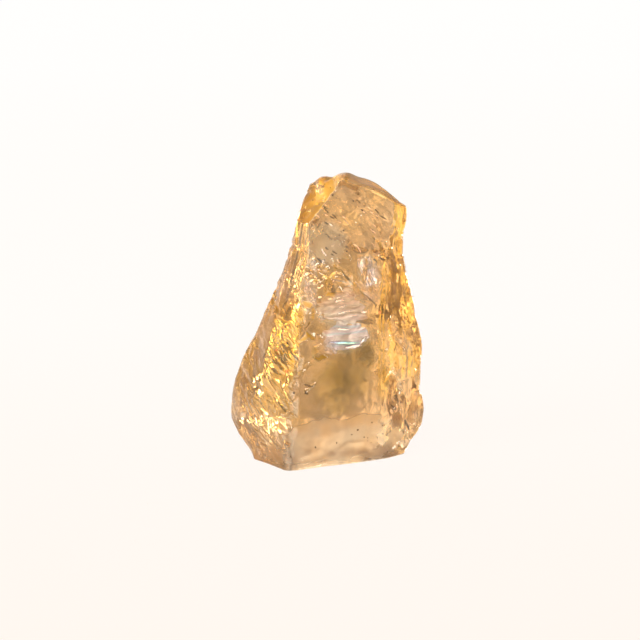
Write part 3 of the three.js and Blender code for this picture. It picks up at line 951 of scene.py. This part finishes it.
# --- Paper floor -------------------------------------------------------------------------
# A round white paper floor that curves up into a low wall. It is lit from below, as on a
# light table, so the crystal casts no shadow on it, and it is a little warmer near the front.
FLOOR_RADIUS = 0.75
WALL_CURVE = 0.25
WALL_TOP = 0.42
FLOOR_DROP = 0.00003    # the floor lies just under the crystal's base
ROUND = 64              # points in each ring
FLAT_RINGS = 6
CURVE_RINGS = 12
profile = [(FLOOR_RADIUS * k / FLAT_RINGS, 0.0) for k in range(1, FLAT_RINGS + 1)]
for k in range(1, CURVE_RINGS + 1):
    a = math.radians(90 * k / CURVE_RINGS)
    profile.append((FLOOR_RADIUS + WALL_CURVE * math.sin(a), WALL_CURVE - WALL_CURVE * math.cos(a)))
profile.append((FLOOR_RADIUS + WALL_CURVE, WALL_TOP))
verts = [(0.0, 0.0, -FLOOR_DROP)]
for radius, rise in profile:
    for i in range(ROUND):
        a = 2 * math.pi * i / ROUND
        verts.append((radius * math.cos(a), radius * math.sin(a), rise - FLOOR_DROP))
faces = [(0, 1 + i, 1 + (i + 1) % ROUND) for i in range(ROUND)]
for row in range(len(profile) - 1):
    for i in range(ROUND):
        a = 1 + row * ROUND + i
        b = 1 + row * ROUND + (i + 1) % ROUND
        faces.append((a, a + ROUND, b + ROUND, b))
paper_mesh = bpy.data.meshes.new("floor")
paper_mesh.from_pydata(verts, [], faces)
paper_mesh.polygons.foreach_set("use_smooth", [True] * len(faces))
floor = bpy.data.objects.new("floor", paper_mesh)
bpy.context.scene.collection.objects.link(floor)

PAPER_LIGHT = 0.98
PAPER_WARMTH = ((0.0, (1.0, 0.925, 0.86)), (0.22, (1.0, 0.965, 0.93)), (1.0, (1.0, 0.985, 0.97)))
paper, nodes, links, sheet = new_finish("paper")
sheet.inputs["Base Color"].default_value = (0.03, 0.03, 0.03, 1)
sheet.inputs["Roughness"].default_value = 0.9
sheet.inputs["Specular IOR Level"].default_value = 0.0
sheet.inputs["Emission Strength"].default_value = PAPER_LIGHT
place = nodes.new("ShaderNodeTexCoord")
split = nodes.new("ShaderNodeSeparateXYZ")
links.new(place.outputs["Object"], split.inputs[0])
away = value_of(nodes, links, split.outputs["Y"], -0.06, 0.50, 0.0, 1.0)
warm = colour_ramp(nodes, PAPER_WARMTH)
links.new(away, warm.inputs["Fac"])
links.new(warm.outputs["Color"], sheet.inputs["Emission Color"])
paper_mesh.materials.append(paper)
floor.visible_transmission = False
floor.visible_glossy = False

# --- Room light --------------------------------------------------------------------------
# The pale room that shows in the faces of the crystal and through it. It is brightest at
# the crystal's own level and straight below, and has soft bright windows and dim patches.

# Its brightness at each rise in degrees.
ROOM_LEVELS = ((-64, 0.44), (-48, 0.36), (-32, 0.55), (-18, 0.67), (-7, 1.02), (6, 0.90), (24, 0.8))
FLOOR_LEVEL = (0.02, (1.0, 1.0, 1.0))          # from straight down, 0, to straight up, 1
CEILING_LEVEL = (0.80, (0.30, 0.30, 0.30))
ROOM_TONES = ((0.0, (1.0, 0.96, 0.90)), (1.0, (1.0, 0.98, 0.95)))
SOFT = "SMOOTHSTEP"

# Windows and dim patches: bearing from +X and rise, half-width, all in degrees, and brightness.
WINDOWS = (
    (-62, 24, 6, 16.0),
    (137, 25, 20, -0.5),
    (-92, 43, 20, 3.5),
    (-150, 40, 10, 10.0),
    (32, -33, 6, 40.0),
    (46, -5, 4, 32.0),
    (-30, -50, 5, 25.0),
    (20, -60, 6, 10.0),
    (62, -50, 18, 1.0),
    (77, 8, 16, -0.35),
    (-116, -8, 24, 1.4),
    (50, -18, 14, 0.4),
    (-137, -28, 28, 1.9),
    (138, -14, 11, 0.6),
    (-155, -4, 16, 0.6),
    (174, -30, 9, 0.8),
    (-106, -26, 26, 3.1),
    (102, 22, 20, 1.3),
)
room = bpy.data.worlds.new("room")
room.use_nodes = True
bpy.context.scene.world = room
nodes, links = room.node_tree.nodes, room.node_tree.links
sky = nodes["Background"]
toward = nodes.new("ShaderNodeTexCoord")
part = nodes.new("ShaderNodeSeparateXYZ")
links.new(toward.outputs["Generated"], part.inputs[0])


def combine(operation, one, other):
    """A socket for two others put together."""
    node = nodes.new("ShaderNodeMath")
    node.operation = operation
    links.new(one, node.inputs[0])
    links.new(other, node.inputs[1])
    return node.outputs[0]


clutter = nodes.new("ShaderNodeTexNoise")
clutter.inputs["Scale"].default_value = 6.0
clutter.inputs["Detail"].default_value = 2.0
links.new(toward.outputs["Generated"], clutter.inputs["Vector"])
uneven = value_of(nodes, links, clutter.outputs["Fac"], 0.36, 0.64, 0.62, 1.25, SOFT)
greys = [FLOOR_LEVEL]
for rise, brightness in ROOM_LEVELS:
    greys.append((0.5 + 0.5 * math.sin(math.radians(rise)), (brightness, brightness, brightness)))
greys.append(CEILING_LEVEL)
level = colour_ramp(nodes, greys)
level.color_ramp.interpolation = "EASE"
links.new(value_of(nodes, links, part.outputs["Z"], -1.0, 1.0, 0.0, 1.0), level.inputs["Fac"])
sideways = value_of(nodes, links, part.outputs["X"], -0.6, 0.6, 1.12, 0.80, SOFT)
front_dim = value_of(nodes, links, part.outputs["Y"], -0.5, 0.1, 0.6, 1.0, SOFT)
from_below = value_of(nodes, links, part.outputs["Z"], -0.4, -0.1, 1.0, 0.0, SOFT)
shade = combine("MULTIPLY", level.outputs["Color"], combine("MAXIMUM", front_dim, from_below))
glow = combine("MULTIPLY", combine("MULTIPLY", uneven, sideways), shade)


def toward_sky(bearing, rise):
    """The direction at a bearing from +X and a rise, both in degrees."""
    a = math.radians(bearing)
    b = math.radians(rise)
    return math.cos(a) * math.cos(b), math.sin(a) * math.cos(b), math.sin(b)


def window(bearing, rise, width, brightness):
    """The socket of a soft-edged bright or dim patch of the room."""
    aim = nodes.new("ShaderNodeVectorMath")
    aim.operation = "DOT_PRODUCT"
    aim.inputs[1].default_value = toward_sky(bearing, rise)
    links.new(toward.outputs["Generated"], aim.inputs[0])
    near = math.cos(math.radians(width * 0.6))
    far = math.cos(math.radians(width * 1.2))
    return value_of(nodes, links, aim.outputs["Value"], far, near, 0.0, brightness, SOFT)


for bearing, rise, width, brightness in WINDOWS:
    glow = combine("ADD", glow, window(bearing, rise, width, brightness))
links.new(glow, sky.inputs["Strength"])
tone = colour_ramp(nodes, ROOM_TONES)
links.new(value_of(nodes, links, part.outputs["Z"], -0.2, 0.5, 0.0, 1.0, SOFT), tone.inputs["Fac"])
links.new(tone.outputs["Color"], sky.inputs["Color"])

# --- Lamps -------------------------------------------------------------------------------
# Two soft square lamps: a wide one overhead, and a smaller, warmer and brighter one at the
# upper left, which lights the golden facet. Lengths are in metres.
middle_point = (cad_low + cad_high) / 2


def softbox(name, bearing, rise, distance, size, radiance, tint):
    """A square lamp that faces the crystal, from a bearing and a rise in degrees."""
    way = Vector(toward_sky(bearing, rise))
    data = bpy.data.lights.new(name, "AREA")
    data.shape = "RECTANGLE"
    data.size = size
    data.size_y = size
    data.energy = radiance * math.pi * size * size
    data.color = tint
    lamp = bpy.data.objects.new(name, data)
    lamp.location = middle_point + way * distance
    lamp.rotation_mode = "QUATERNION"
    lamp.rotation_quaternion = way.to_track_quat("Z", "Y")
    lamp.visible_camera = False
    bpy.context.scene.collection.objects.link(lamp)


softbox("overhead", 60, 70, 0.45, 0.25, 1.0, (1, 0.98, 0.95))
softbox("left_key", 205, 35, 0.35, 0.10, 6, (1, 0.93, 0.80))

# --- Camera ------------------------------------------------------------------------------
# A long lens straight in front of the crystal, a little above it. Light may pass through
# many faces of a clear crystal before it is lost.
ELEVATION = math.radians(14)
LENS = 94               # mm
SENSOR = 36             # mm
DISTANCE = 0.205        # m, from the point that it is aimed at
NEAREST_SEEN = 0.01     # m
AIM = Vector((-0.95 * MM, 0.0, 16.98 * MM))
FACES_PASSED = 40
FILMS_PASSED = 24
camera_data = bpy.data.cameras.new("camera")
camera_data.lens = LENS
camera_data.sensor_width = SENSOR
camera_data.clip_start = NEAREST_SEEN
camera = bpy.data.objects.new("camera", camera_data)
camera.location = AIM + Vector((0, -math.cos(ELEVATION), math.sin(ELEVATION))) * DISTANCE
camera.rotation_mode = "QUATERNION"
camera.rotation_quaternion = (AIM - camera.location).to_track_quat("-Z", "Y")
bpy.context.scene.collection.objects.link(camera)
bpy.context.scene.camera = camera
bpy.context.scene.view_settings.view_transform = "Standard"
bpy.context.scene.cycles.max_bounces = FACES_PASSED
bpy.context.scene.cycles.transmission_bounces = FACES_PASSED
bpy.context.scene.cycles.transparent_max_bounces = FILMS_PASSED
